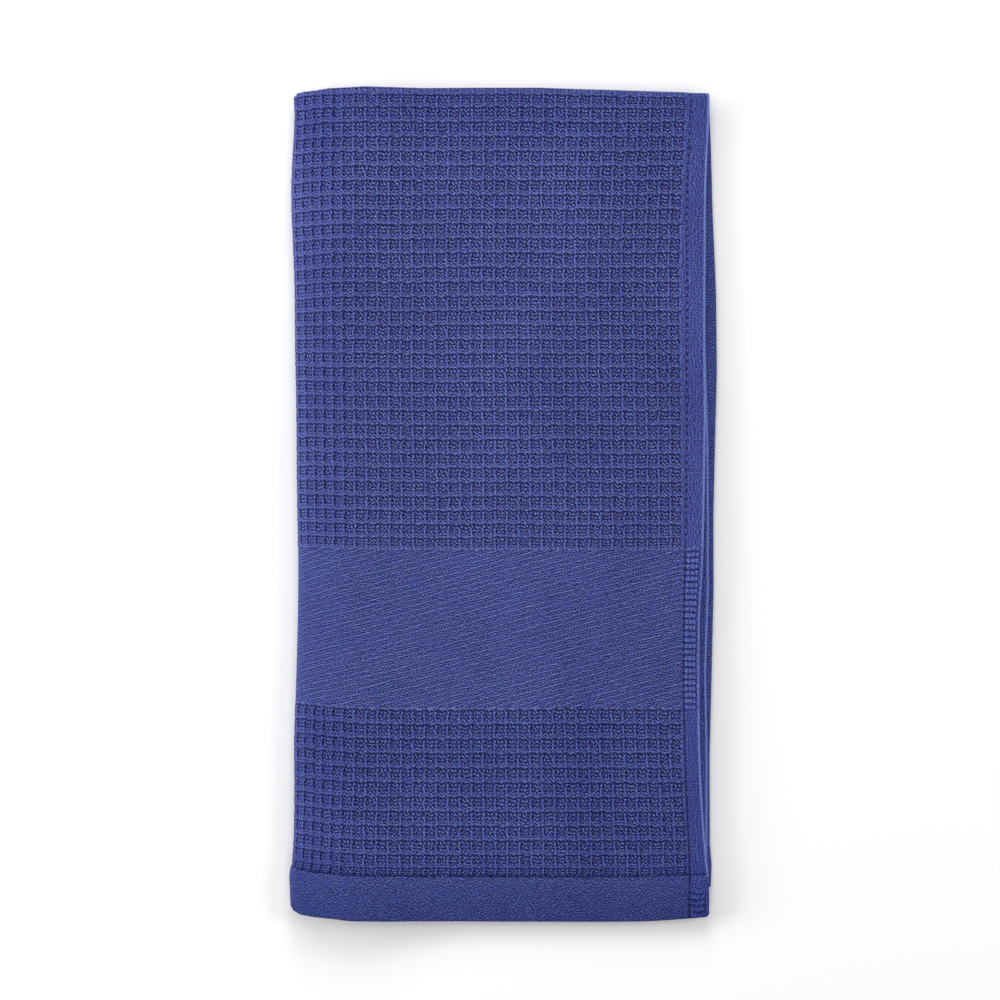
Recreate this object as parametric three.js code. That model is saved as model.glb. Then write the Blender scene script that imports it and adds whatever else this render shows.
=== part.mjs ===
// A cotton waffle-weave hand towel, folded in half end to end and then in half side to side.
// It lies flat on its underside. +X runs across the bundle, away from the lengthwise fold,
// +Y runs towards the end-to-end fold and +Z is up. All sizes are in millimetres.
import * as THREE from "three";

// The cloth and the air between its layers.
const LAYER = 2.0;
const PLY_GAP = 0.5;
const SIDE_HEM = 13.0;
const END_HEM = 26.0;
const END_HEM_RISE = 0.5;
const SEAM_DIP = 0.4;
const SEAM_HALF_WIDTH = 1.5;
const BAND_SUNK = 0.3;
const EDGE_ROUND = 0.6;


// The end-to-end fold: how far apart its two layers bulge, and over what length they come together.
const TOP_BULGE = 0.55;
const TOP_BULGE_LENGTH = 45.0;

// The lengthwise fold: a round nose, a drooping shoulder, a crown a little higher than the nose,
// and a long slope down to the flat.
const NOSE_RADIUS = 4.2;
const NOSE_TURN = THREE.MathUtils.degToRad(150);
const CROWN_INSET = 24.0;
const CROWN_RISE = 1.2;
const SHOULDER_PULL = 2.8;
const CROWN_PULL = 13.0;
const SLOPE_LENGTH = 85.0;

// The length of the bundle, which all the distances down are measured along.
const BUNDLE_LENGTH = 501.0;

// Beyond the end of the two layers between, the top layer sinks towards the surface.
const BACK_END = 480.0;
const SINK_END = 514.0;
const FRONT_SINK = 4.2;

// The twill band and the end hem's seam, as shares of the way from the end-to-end fold to the
// front hem, and the share that the slope beside a seam or a band takes up.
const BAND_TOP = 0.554;
const BAND_BOTTOM = 0.747;
const SEAM = 1 - END_HEM / BUNDLE_LENGTH;
const DIP_SHARE = SEAM_HALF_WIDTH / BUNDLE_LENGTH;
const BAND_END = BAND_BOTTOM - DIP_SHARE;

// The three pieces of the lengthwise fold's curve, in their order.
const SLOPE = 0;
const SHOULDER = 1;
const NOSE = 2;

// How many parts each stretch of the section and of the leaves is divided into.
const UPPER_STEPS = 6;
const SLOPE_STEPS = 6;
const SHOULDER_STEPS = 7;
const NOSE_STEPS = 9;
const LOWER_STEPS = 7;
const LEAF_STEPS = 8;
const BAND_STEPS = 3;
const SKIRT_STEPS = 4;
const HEM_STEPS = 2;
const BACK_STEPS = 10;
const TOP_STEPS = 8;

// Closer lines where each leaf leaves the end-to-end fold, as shares of the leaf, and the share
// at which its even lines start.
const TOP_SHARES = [0, 0.012, 0.03, 0.06];
const LEAF_START = 0.1;

// What the bundle's long edges do, row by row, at distances down from its highest point.
// fold is the lengthwise fold, first to fourth are the free edges of the layers from the top of the
// stack, all across from the bundle's middle. gap is the air between the upper and the lower pair.
const LONG_EDGES = [
  { down: 5, fold: -125.7, first: 123.7, second: 123.7, third: 123.0, fourth: 123.0, gap: 0.7 },
  { down: 20, fold: -125.2, first: 123.7, second: 123.1, third: 124.0, fourth: 122.8, gap: 0.7 },
  { down: 44, fold: -126.4, first: 122.1, second: 121.0, third: 124.5, fourth: 122.6, gap: 0.8 },
  { down: 68, fold: -127.0, first: 121.0, second: 120.0, third: 125.2, fourth: 123.0, gap: 1.0 },
  { down: 116, fold: -125.2, first: 121.0, second: 120.2, third: 127.0, fourth: 124.8, gap: 1.4 },
  { down: 158, fold: -124.7, first: 121.1, second: 121.0, third: 127.6, fourth: 125.4, gap: 1.6 },
  { down: 194, fold: -124.0, first: 121.2, second: 122.3, third: 127.2, fourth: 125.0, gap: 1.7 },
  { down: 236, fold: -123.7, first: 120.5, second: 122.6, third: 126.2, fourth: 124.0, gap: 1.6 },
  { down: 284, fold: -123.0, first: 119.4, second: 122.3, third: 125.8, fourth: 123.6, gap: 1.8 },
  { down: 320, fold: -123.3, first: 117.4, second: 122.0, third: 125.8, fourth: 123.4, gap: 1.9 },
  { down: 362, fold: -124.4, first: 117.3, second: 121.4, third: 124.3, fourth: 122.2, gap: 1.8 },
  { down: 392, fold: -125.3, first: 118.0, second: 122.1, third: 123.7, fourth: 121.6, gap: 1.4 },
  { down: 422, fold: -125.2, first: 119.5, second: 122.4, third: 123.5, fourth: 121.6, gap: 1.0 },
  { down: 458, fold: -125.8, first: 122.0, second: 123.2, third: 124.3, fourth: 122.0, gap: 0.7 },
  { down: 474, fold: -127.7, first: 123.4, second: 122.4, third: 124.9, fourth: 122.2, gap: 0.7 },
  { down: 501, fold: -126.9, first: 123.9, second: 122.4, third: 124.9, fourth: 121.8, gap: 0.7 },
];

// What the bundle's two ends do, at distances in from the lengthwise fold, as distances down.
// upperFold and lowerFold are the end-to-end fold of each pair of layers, frontHem and hiddenHem
// the ends of the top and bottom layers, and backHem the ends of the two layers between them.
const SHORT_EDGES = [
  { in: 0, upperFold: 6.6, lowerFold: 6.6, frontHem: 489.0, hiddenHem: 489.0, backHem: 478.0 },
  { in: 5, upperFold: 4.4, lowerFold: 4.2, frontHem: 495.6, hiddenHem: 493.0, backHem: 479.0 },
  { in: 12, upperFold: 3.9, lowerFold: 2.6, frontHem: 498.0, hiddenHem: 495.0, backHem: 479.6 },
  { in: 34, upperFold: 2.2, lowerFold: 0.2, frontHem: 500.6, hiddenHem: 496.6, backHem: 480.0 },
  { in: 76, upperFold: 1.8, lowerFold: 0.9, frontHem: 501.0, hiddenHem: 497.0, backHem: 480.4 },
  { in: 140, upperFold: 1.6, lowerFold: 0.7, frontHem: 501.0, hiddenHem: 497.2, backHem: 480.4 },
  { in: 208, upperFold: 3.3, lowerFold: 2.6, frontHem: 500.6, hiddenHem: 496.8, backHem: 480.2 },
  { in: 237, upperFold: 4.3, lowerFold: 3.6, frontHem: 499.2, hiddenHem: 495.6, backHem: 480.0 },
  { in: 249, upperFold: 4.4, lowerFold: 5.2, frontHem: 497.4, hiddenHem: 494.0, backHem: 480.0 },
];

// A smooth value between the rows of a table: a cubic through them, held level past both ends.
function between(rows, place, column, at) {
  const above = rows.findIndex((row) => row[place] > at);
  if (above === 0) return rows[0][column];
  if (above === -1) return rows[rows.length - 1][column];
  const row = (i) => rows[THREE.MathUtils.clamp(i, 0, rows.length - 1)];
  const slope = (i) =>
    (row(i + 1)[column] - row(i - 1)[column]) / (row(i + 1)[place] - row(i - 1)[place]);
  const low = row(above - 1);
  const high = row(above);
  const span = high[place] - low[place];
  const t = (at - low[place]) / span;
  const rise = high[column] - low[column];
  const bend = (1 - t) * (span * slope(above - 1) - rise) - t * (span * slope(above) - rise);
  return low[column] + rise * t + t * (1 - t) * bend;
}

const mix = THREE.MathUtils.lerp;
const ease = (from, to, at) => THREE.MathUtils.smoothstep(at, from, to);

// Even steps from one value towards another, without the last one.
const spread = (from, to, steps) => Array.from({ length: steps }, (_, i) => mix(from, to, i / steps));

// The lengthwise fold's curve in the X-Z plane, in three pieces: the slope, the shoulder and the
// nose. Its X starts at the nose, and the middle of a pair of layers runs along it.
function foldCurve(upper, lower) {
  const centre = new THREE.Vector2(NOSE_RADIUS, lower + NOSE_RADIUS);
  const crown = new THREE.Vector2(CROWN_INSET, lower + 2 * NOSE_RADIUS + CROWN_RISE);
  const flat = new THREE.Vector2(CROWN_INSET + SLOPE_LENGTH, upper);
  const halfSlope = new THREE.Vector2(SLOPE_LENGTH / 2, 0);
  const crownPull = new THREE.Vector2(CROWN_PULL, 0);
  const noseStart = -Math.PI / 2 - NOSE_TURN;
  const nose = new THREE.EllipseCurve(
    centre.x, centre.y, NOSE_RADIUS, NOSE_RADIUS, noseStart, -Math.PI / 2, false, 0,
  );
  const shoulder = nose.getPoint(0);
  const climb = nose.getTangent(0).negate();
  return [
    new THREE.CubicBezierCurve(flat, flat.clone().sub(halfSlope), crown.clone().add(halfSlope), crown),
    new THREE.CubicBezierCurve(
      crown, crown.clone().sub(crownPull), shoulder.clone().addScaledVector(climb, SHOULDER_PULL), shoulder,
    ),
    nose,
  ];
}

// Where the lengthwise lines of the mesh run, from the free edge of the top layer round the fold to
// that of the bottom layer. Each has a stretch of the folded section, a share of the way along it,
// whether it is on the upper pair of layers, and how far the right side of the cloth rises there.
function linesAcross() {
  const flat = (leaf, steps, inset = 0, rise = 0) =>
    spread(0, 1, steps).map((share) => ({ leaf, share, inset, rise, upper: leaf === "upper" }));
  const bend = (piece, steps) =>
    spread(0, 1, steps).map((share) => ({ leaf: "fold", piece, share, rise: 0, upper: piece < NOSE }));
  return [
    ...flat("upper", 1),
    ...flat("upper", 1, SIDE_HEM - SEAM_HALF_WIDTH),
    ...flat("upper", 1, SIDE_HEM, -SEAM_DIP),
    ...flat("upper", UPPER_STEPS, SIDE_HEM + SEAM_HALF_WIDTH),
    ...bend(SLOPE, SLOPE_STEPS),
    ...bend(SHOULDER, SHOULDER_STEPS),
    ...bend(NOSE, NOSE_STEPS),
    ...flat("lower", LOWER_STEPS).map((line) => ({ ...line, share: 1 - line.share })),
    ...flat("lower", 1),
  ];
}

// Where the crosswise lines of the mesh run: up the front leaf from its hem, over the end-to-end
// fold, where turn is the angle passed, and down the back leaf. share is the share of the leaf.
function linesAlong() {
  const row = (rise) => (share) => ({ leaf: "front", share, turn: 0, rise });
  const front = [
    ...[...TOP_SHARES, ...spread(LEAF_START, BAND_TOP, LEAF_STEPS), BAND_TOP].map(row(0)),
    ...[...spread(BAND_TOP + DIP_SHARE, BAND_END, BAND_STEPS), BAND_END].map(row(-BAND_SUNK)),
    ...[...spread(BAND_BOTTOM, SEAM - DIP_SHARE, SKIRT_STEPS), SEAM - DIP_SHARE].map(row(0)),
    row(-SEAM_DIP)(SEAM),
    ...[...spread(SEAM + DIP_SHARE, 1, HEM_STEPS), 1].map(row(END_HEM_RISE)),
  ];
  const back = [...TOP_SHARES, ...spread(LEAF_START, 1, BACK_STEPS), 1];
  return [
    ...front.reverse(),
    ...spread(0, Math.PI, TOP_STEPS).slice(1).map((turn) => ({ leaf: "top", share: 0, turn, rise: 0 })),
    ...back.map((share) => ({ leaf: "back", share, turn: Math.PI, rise: 0 })),
  ];
}

// A place on the folded section at a distance down: X and Z of the middle of the cloth, the
// direction its right side looks on the front leaf, and how far in from the nose it is.
function sectionAt(across, along, down) {
  const column = (name) => between(LONG_EDGES, "down", name, down);
  const swell = TOP_BULGE * (1 - ease(0, TOP_BULGE_LENGTH, down));
  const spacing = LAYER / 2 + PLY_GAP / 2 + swell;
  const sink = along.leaf === "front" ? FRONT_SINK * ease(BACK_END, SINK_END, down) : 0;
  const lower = LAYER / 2 + spacing;
  const upper = lower + 2 * spacing + LAYER + column("gap") - sink;
  const nose = column("fold") + LAYER / 2 + spacing;
  const back = along.turn / Math.PI;
  const point = new THREE.Vector2();
  const look = new THREE.Vector2(0, 1);
  if (across.leaf === "fold") {
    const piece = foldCurve(upper, lower)[across.piece];
    const way = piece.getTangent(across.share);
    point.copy(piece.getPoint(across.share)).x += nose;
    look.set(way.y, -way.x);
  } else if (across.leaf === "upper") {
    const edge = mix(column("first"), column("second"), back);
    point.set(mix(edge - across.inset, nose + CROWN_INSET + SLOPE_LENGTH, across.share), upper);
  } else {
    const edge = mix(column("fourth"), column("third"), back);
    point.set(mix(edge, nose + NOSE_RADIUS, across.share), lower);
    look.set(0, -1);
  }
  const middle = point.clone().addScaledVector(look, spacing * Math.cos(along.turn));
  return { x: middle.x, z: middle.y, look, in: point.x - nose };
}

// A place on the cloth: its point on the middle of the cloth and the direction its right side
// looks. The ends of the leaves depend on how far in the place is, which the first pass finds.
function clothAt(across, along) {
  const fold = across.upper ? "upperFold" : "lowerFold";
  const frontHem = across.upper ? "frontHem" : "hiddenHem";
  const bulge = LAYER / 2 + PLY_GAP / 2 + TOP_BULGE;
  let place = { in: CROWN_INSET };
  let down = 0;
  for (let pass = 0; pass < 2; pass += 1) {
    const leafTop = between(SHORT_EDGES, "in", fold, place.in) + LAYER / 2 + bulge;
    const hem = between(SHORT_EDGES, "in", along.leaf === "back" ? "backHem" : frontHem, place.in);
    down = mix(leafTop, hem, along.share) - bulge * Math.sin(along.turn);
    place = sectionAt(across, along, down);
  }
  const sideways = Math.cos(along.turn);
  return {
    point: new THREE.Vector3(place.x, BUNDLE_LENGTH - down, place.z),
    look: new THREE.Vector3(place.look.x * sideways, Math.sin(along.turn), place.look.y * sideways),
  };
}

// The whole towel: the right side and the wrong side of the cloth as two grids, half a layer out
// from its middle, joined round their edges by a strip that bulges a little at its middle.
function towelGeometry() {
  const across = linesAcross();
  const along = linesAlong();
  const points = [];
  const faces = [];
  const addPoint = (point) => points.push(point.x, point.y, point.z) / 3 - 1;
  const quad = (a, b, c, d) => faces.push(a, b, c, a, c, d);
  const grid = (out) => across.map((a) => along.map((t) => {
    const { point, look } = clothAt(a, t);
    return addPoint(point.addScaledVector(look, out(a, t)));
  }));
  const right = grid((a, t) => LAYER / 2 + (a.upper ? a.rise + t.rise : 0));
  const wrong = grid(() => -LAYER / 2);
  for (let i = 0; i + 1 < across.length; i += 1) {
    for (let j = 0; j + 1 < along.length; j += 1) {
      quad(right[i][j], right[i][j + 1], right[i + 1][j + 1], right[i + 1][j]);
      quad(wrong[i][j], wrong[i + 1][j], wrong[i + 1][j + 1], wrong[i][j + 1]);
    }
  }

  const lastAcross = across.length - 1;
  const lastAlong = along.length - 1;
  const rightward = new THREE.Vector3(EDGE_ROUND, 0, 0);
  const downward = new THREE.Vector3(0, -EDGE_ROUND, 0);
  const edge = [
    ...along.map((_, j) => ({ i: 0, j, out: rightward })).slice(0, -1),
    ...across.map((_, i) => ({ i, j: lastAlong, out: downward })).slice(0, -1),
    ...along.map((_, j) => ({ i: lastAcross, j: lastAlong - j, out: rightward })).slice(0, -1),
    ...across.map((_, i) => ({ i: lastAcross - i, j: 0, out: downward })).slice(0, -1),
  ];
  const rim = edge.map(({ i, j, out }) => addPoint(clothAt(across[i], along[j]).point.add(out)));
  edge.forEach(({ i, j }, k) => {
    const next = (k + 1) % edge.length;
    const { i: ni, j: nj } = edge[next];
    quad(right[i][j], rim[k], rim[next], right[ni][nj]);
    quad(rim[k], wrong[i][j], wrong[ni][nj], rim[next]);
  });

  const geometry = new THREE.BufferGeometry();
  geometry.setAttribute("position", new THREE.Float32BufferAttribute(points, 3));
  geometry.setIndex(faces);
  return geometry;
}

// The bundle stands with the middle of its box over the origin and its underside at zero height.
function centred(geometry) {
  geometry.computeBoundingBox();
  const { min, max } = geometry.boundingBox;
  return geometry.translate(-(min.x + max.x) / 2, -(min.y + max.y) / 2, -min.z);
}

const cotton = new THREE.MeshStandardMaterial({ color: 0x46508c, roughness: 0.95, metalness: 0 });
const towel = new THREE.Mesh(centred(towelGeometry()), cotton);
towel.name = "towel";

const handTowel = new THREE.Group();
handTowel.add(towel);

export default handTowel;
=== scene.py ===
# %% [markdown]
# # A waffle hand towel, folded in four
#
# The real thing is one panel of blue cotton, 50 by 100 cm. Most of it is waffle weave, a grid of
# little square hollows with a ridge of long floating yarns between them. Near each end a plain twill
# band crosses it, and all four edges are turned and sewn. It has been folded in half end to end,
# then in half side to side, so four layers lie on each other with the folds at the top and the left.
#
# The lesson builds the cloth as one surface worked out with numpy: every point of the sheet has a
# column number and a row number, counted in waffle cells, and a formula says where it ends up after
# the folding. The relief of the weave, the yarns' colours and the sewing all use the same numbers.

import bpy
import mathutils
import numpy as np
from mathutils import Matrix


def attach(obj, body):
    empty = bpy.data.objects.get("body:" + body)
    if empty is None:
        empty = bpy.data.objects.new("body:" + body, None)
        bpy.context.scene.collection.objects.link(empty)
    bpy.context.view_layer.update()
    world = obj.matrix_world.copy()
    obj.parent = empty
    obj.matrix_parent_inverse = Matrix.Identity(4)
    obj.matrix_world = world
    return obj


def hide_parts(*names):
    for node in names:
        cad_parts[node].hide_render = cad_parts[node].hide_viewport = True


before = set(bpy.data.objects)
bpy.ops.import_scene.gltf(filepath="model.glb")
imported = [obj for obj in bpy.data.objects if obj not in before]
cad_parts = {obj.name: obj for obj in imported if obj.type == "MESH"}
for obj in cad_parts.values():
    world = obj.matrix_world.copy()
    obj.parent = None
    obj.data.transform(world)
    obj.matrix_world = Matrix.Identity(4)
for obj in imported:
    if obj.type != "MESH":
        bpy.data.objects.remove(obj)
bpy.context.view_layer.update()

# %% [markdown]
# ## The camera
#
# The towel is seen from straight above. A short lens would show its sides, so the camera stands far
# off with a long lens, which is nearly a flat, even-scale view and still works from other angles.

# %% Camera
MM = 0.001
PIXEL = 0.6 * MM
PICTURE_SIDE = 1000
VIEW_HEIGHT = 3.0
TOWEL_TOP = 10 * MM
VIEW_CENTRE = (-1.8 * MM, 2.1 * MM)

lens_data = bpy.data.cameras.new("view from above")
lens_data.lens = lens_data.sensor_width * VIEW_HEIGHT / (PIXEL * PICTURE_SIDE)
camera = bpy.data.objects.new("view from above", lens_data)
camera.location = (*VIEW_CENTRE, TOWEL_TOP + VIEW_HEIGHT)
bpy.context.scene.collection.objects.link(camera)
bpy.context.scene.camera = camera
print("lens", round(lens_data.lens), "mm, for a field of", PIXEL * PICTURE_SIDE, "m")

# %% [markdown]
# ## The measurements of the folded bundle
#
# A folded towel is never quite square. Its edges wander by a few millimetres, the top layer hangs
# over the others, and the fold stands a little proud. Those wanderings are written down as short
# tables, in millimetres, and a smooth curve runs through each of their columns.

# %% Sizes of the cloth, in millimetres
LAYER = 2.0
PLY_GAP = 0.5
EDGE_ROUND = 0.9
CORNER_ROUND = 1.4
TOP_BULGE = 0.55
TOP_BULGE_LENGTH = 45.0
NOSE_RADIUS = 4.2
NOSE_TURN = np.radians(150)
CROWN_INSET = 24.0
CROWN_RISE = 1.2
SHOULDER_PULL = 2.8
CROWN_PULL = 13.0
SLOPE_LENGTH = 85.0
BUNDLE_LENGTH = 501.0
BACK_END = 480.0
SINK_END = 514.0
FRONT_SINK = 4.2
FLAT_INSET = CROWN_INSET + SLOPE_LENGTH
BULGE = LAYER / 2 + PLY_GAP / 2 + TOP_BULGE


# %% Tables of the bundle's edges
def table(names, rows):
    """A table's columns by name, from its rows."""
    return dict(zip(names.split(), np.array(rows, float).T))


# At distances down from the bundle's highest point: where the lengthwise fold and the free edges of
# the four layers are across from the middle, and the air between the upper and the lower pair.
LONG_EDGES = table("down fold first second third fourth gap", [
    (5, -126.1, 123.9, 123.9, 123.3, 123.2, 0.7),
    (20, -125.6, 123.8, 123.3, 124.5, 123.0, 0.7),
    (44, -126.8, 122.6, 121.4, 125.3, 123.2, 0.8),
    (68, -127.4, 121.9, 120.7, 126.0, 123.8, 1.0),
    (116, -125.6, 121.6, 120.8, 127.9, 125.6, 1.4),
    (158, -125.1, 121.5, 121.6, 128.6, 126.3, 1.6),
    (194, -124.4, 121.8, 123.0, 128.3, 126.0, 1.7),
    (236, -124.1, 121.2, 123.6, 126.9, 124.8, 1.6),
    (284, -123.4, 120.1, 123.6, 126.4, 124.4, 1.8),
    (320, -123.7, 118.2, 123.3, 126.7, 124.2, 1.9),
    (362, -124.8, 117.9, 121.7, 125.1, 123.0, 1.8),
    (392, -125.7, 118.2, 122.6, 124.4, 122.4, 1.4),
    (422, -125.6, 119.3, 123.2, 124.2, 122.2, 1.0),
    (452, -126.0, 121.3, 122.8, 124.5, 122.2, 0.8),
    (466, -127.0, 122.6, 122.4, 125.4, 122.2, 0.7),
    (474, -128.1, 123.4, 122.4, 125.6, 122.2, 0.7),
    (481, -127.8, 123.7, 122.4, 125.5, 122.0, 0.7),
    (501, -127.1, 123.9, 122.4, 124.9, 121.8, 0.7),
])

# At distances in from the lengthwise fold: how far down the folds and the hems are.
SHORT_EDGES = table("inset upper_fold lower_fold front_hem hidden_hem back_hem", [
    (0, 4.9, 6.2, 492.6, 488.6, 477.0),
    (1, 4.0, 5.0, 494.6, 490.2, 477.6),
    (2, 3.5, 4.1, 495.7, 491.2, 478.0),
    (4, 3.1, 3.3, 496.9, 492.8, 478.6),
    (8, 2.7, 2.3, 497.8, 493.9, 479.2),
    (14, 2.2, 1.2, 498.7, 494.9, 479.6),
    (24, 1.8, 0.3, 499.7, 496.0, 479.9),
    (34, 1.5, -0.6, 500.9, 496.6, 480.0),
    (76, 1.6, 0.6, 501.4, 497.0, 480.4),
    (140, 1.4, 0.3, 501.7, 497.2, 480.4),
    (208, 2.9, 2.4, 501.6, 496.8, 480.4),
    (237, 3.9, 3.3, 499.8, 495.6, 481.6),
    (249, 4.1, 5.0, 498.8, 494.0, 481.8),
])


def smooth(at, places, values):
    """A smooth curve through a table's points, read at many places at once.

    Between two points it is the cubic whose slope at each is the rise over the run of that point's
    two neighbours. Past both ends it stays level.
    """
    at = np.clip(at, places[0], places[-1])
    low = np.clip(np.searchsorted(places, at, side="right") - 1, 0, len(places) - 2)
    before = np.maximum(np.arange(len(places)) - 1, 0)
    after = np.minimum(np.arange(len(places)) + 1, len(places) - 1)
    slopes = (values[after] - values[before]) / (places[after] - places[before])
    span = places[low + 1] - places[low]
    share = (at - places[low]) / span
    rise = values[low + 1] - values[low]
    bend = (1 - share) * (span * slopes[low] - rise) - share * (span * slopes[low + 1] - rise)
    return values[low] + rise * share + share * (1 - share) * bend


def read_table(listed, key, at):
    """Every column of a table, read smoothly where the one called key has the values in at."""
    return {name: smooth(at, listed[key], listed[name]) for name in listed}


def ease(start, end, at):
    """0 before start, 1 after end, and a gentle s-shaped climb between them."""
    share = np.clip((at - start) / (end - start), 0, 1)
    return share * share * (3 - 2 * share)


def mix(a, b, share):
    """a where share is 0, b where it is 1, and evenly between."""
    return a + (b - a) * share


# %% [markdown]
# ## The grid of the weave
#
# Columns are counted from the last lengthwise ridge beside the side hem, towards the fold, and rows
# from the end hem's seam towards the end-to-end fold. A whole number is always the crest of a ridge.
# The cells aren't quite even: they are a little narrower where the cloth turns into the fold. The
# rows stay straight over most of the leaf, and only the last few give way to a crooked edge.

# %% Columns and rows
CELL_WIDTH = 7.03
CELL_HEIGHT = 8.66
HEM_EDGE = -1.9
SEAM_COLUMN = -0.5
FAR_COLUMN = 28.0
NOSE_COLUMN = 36.5
LOWER_COLUMNS = 34.0
LAST_COLUMN = NOSE_COLUMN + LOWER_COLUMNS

HEM_ROWS = 3.0
BAND_LOW = 12.0
BAND_HIGH = 23.0
BAND_LIP = 0.07
FOLD_ROW = 55.0
FOLD_ROWS = 1.0
FOLD_GIVES = 2.0
HEM_GIVES = 8.0
BACK_ROWS = 55.0
BACK_ROW = FOLD_ROW + FOLD_ROWS
LAST_ROW = BACK_ROW + BACK_ROWS

# How far down each of these rows lies, halfway across the bundle.
ROW_PLACES = table("row down", [
    (-HEM_ROWS, BUNDLE_LENGTH),
    (0, 475.0),
    (1, 468.6),
    (2, 460.5),
    (11, 381.9),
    (BAND_LOW, 373.2),
    (BAND_HIGH, 277.8),
    (24, 270.4),
    (26, 253.9),
    (40, 134.0),
    (54, 11.8),
    (FOLD_ROW, 4.4),
])

# The share of the way from the far column's ridge to the nose at which these columns lie: the cells
# close up a little where the cloth bends.
FOLD_SHARES = table("column share", [
    (FAR_COLUMN, 0),
    (29, 0.140),
    (30, 0.265),
    (31, 0.387),
    (32, 0.494),
    (33, 0.602),
    (34, 0.702),
    (35, 0.815),
    (NOSE_COLUMN, 1),
])

# Where the side hem's seam, the ridge beside it and the ridge of the far column run, across from
# the bundle's middle.
COLUMN_PLACES = table("down seam ridge far", [
    (5, 112.6, 109.8, -89.9),
    (25, 112.2, 109.4, -89.9),
    (57, 110.5, 107.9, -89.9),
    (116, 110.3, 106.4, -89.9),
    (176, 110.3, 106.7, -89.9),
    (250, 109.7, 107.4, -88.8),
    (320, 108.4, 107.0, -89.1),
    (362, 108.2, 107.1, -89.4),
    (392, 108.8, 107.4, -89.6),
    (416, 109.6, 108.2, -89.7),
    (440, 110.6, 109.5, -90.2),
    (464, 111.6, 110.5, -90.8),
    (501, 111.6, 110.7, -91.0),
])


# %% [markdown]
# ## The lengthwise fold
#
# Seen from its end, a fold of thick cloth is not a half circle: the cloth stands up in a crown,
# droops over a shoulder and turns under in a tight nose. Two Bézier curves and an arc make that
# line. A complex number holds each point, its real part across and its imaginary part the height,
# so that one formula gives both.

# %% The fold's curve
def bezier(share, a, b, c, d):
    """Point and direction of the cubic Bézier curve from a to d with the handles b and c."""
    rest = 1 - share
    point = rest**3 * a + 3 * rest**2 * share * b + 3 * rest * share**2 * c + share**3 * d
    way = rest**2 * (b - a) + 2 * rest * share * (c - b) + share**2 * (d - c)
    return point, way / np.abs(way)


def fold_curve(place, upper, lower):
    """The middle of a pair of layers round the fold, with its real part counted from the nose.

    place runs from 0 to 1 down the long slope from the flat to the crown, which isn't steep, on to
    2 over the shoulder, and on to 3 round the nose. upper and lower are the heights of the flats.
    """
    crown = CROWN_INSET + 1j * (lower + 2 * NOSE_RADIUS + CROWN_RISE)
    flat = FLAT_INSET + 1j * upper
    centre = NOSE_RADIUS + 1j * (lower + NOSE_RADIUS)
    angle = -np.pi / 2 - NOSE_TURN * (1 - np.clip(place - 2, 0, 1))
    nose = centre + NOSE_RADIUS * np.exp(1j * angle)
    start = -np.pi / 2 - NOSE_TURN
    shoulder = centre + NOSE_RADIUS * np.exp(1j * start)
    climb = -1j * np.exp(1j * start) * SHOULDER_PULL
    slope = bezier(np.clip(place, 0, 1), flat, flat - SLOPE_LENGTH / 2, crown + SLOPE_LENGTH / 2, crown)
    droop = bezier(np.clip(place - 1, 0, 1), crown, crown - CROWN_PULL, shoulder + climb, shoulder)
    parts = [place < 1, place < 2]
    point = np.select(parts, [slope[0], droop[0]], nose)
    way = np.select(parts, [slope[1], droop[1]], 1j * np.exp(1j * angle))
    return point, way


# %% Lengths along the fold
MIDDLE_GAP = 1.4
LOWER_MIDDLE = LAYER + PLY_GAP / 2
UPPER_MIDDLE = LOWER_MIDDLE + 2 * LAYER + PLY_GAP + MIDDLE_GAP

fold_places = np.linspace(0, 3, 601)
fold_points, fold_ways = fold_curve(fold_places, UPPER_MIDDLE, LOWER_MIDDLE)
outer_points = fold_points - 1j * fold_ways * LOWER_MIDDLE
fold_lengths = np.append(0, np.cumsum(np.abs(np.diff(outer_points))))
slope_insets = fold_points.real[fold_places <= 1]
print("the fold's outside is", round(fold_lengths[-1], 1), "mm long")


# %% [markdown]
# ## From the flat sheet to the folded one
#
# Each pair of layers is one sheet bent back on itself at the top, so a cut along the towel is a long
# hairpin. Carrying that hairpin along the fold's curve gives all four layers at once, and no layer
# can cut through another, because both keep their distance from the line that they follow.
#
# Two small strains come first. Beside the lengthwise fold the rows don't stay level: they sag near
# the top and climb towards the hem. And a turned hem can't be sharp, so the corners are rounded.

# %% Rows beside the fold
# A wide gentle lift of the rows: how high, over which stretch down the towel it grows, and its
# share at distances in from the lengthwise fold.
LIFT = 1.3
LIFT_ZONE = (90, 240)
LIFT_SHARES = table("inset share", [(0, 1.1), (9, 1.0), (24, 0.65), (42, 0.35), (66, 0.05), (90, 0)])

# A pull close to the fold: its rise at distances down, and its share at distances in.
PULL = table("down rise", [
    (20, -1.9),
    (60, -1.9),
    (128, -1.8),
    (164, 0.1),
    (200, 0.0),
    (290, 0.4),
    (368, 2.0),
    (400, 2.3),
    (501, 2.3),
])
PULL_SHARES = table("inset share", [
    (0, 1.15), (5, 1), (8.5, 0.8), (12.5, 0.62), (17.5, 0.5), (22, 0.34), (28, 0.2), (34, 0.1), (42, 0),
])


def row_lift(inset, down):
    """How far the rows rise near the lengthwise fold: a wide gentle lift in the lower half, and a
    pull close to the fold, downwards near the top and upwards near the hem."""
    lift = LIFT * np.interp(inset, LIFT_SHARES["inset"], LIFT_SHARES["share"]) * ease(*LIFT_ZONE, down)
    share = np.interp(inset, PULL_SHARES["inset"], PULL_SHARES["share"])
    return lift + smooth(down, PULL["down"], PULL["rise"]) * share


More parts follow.
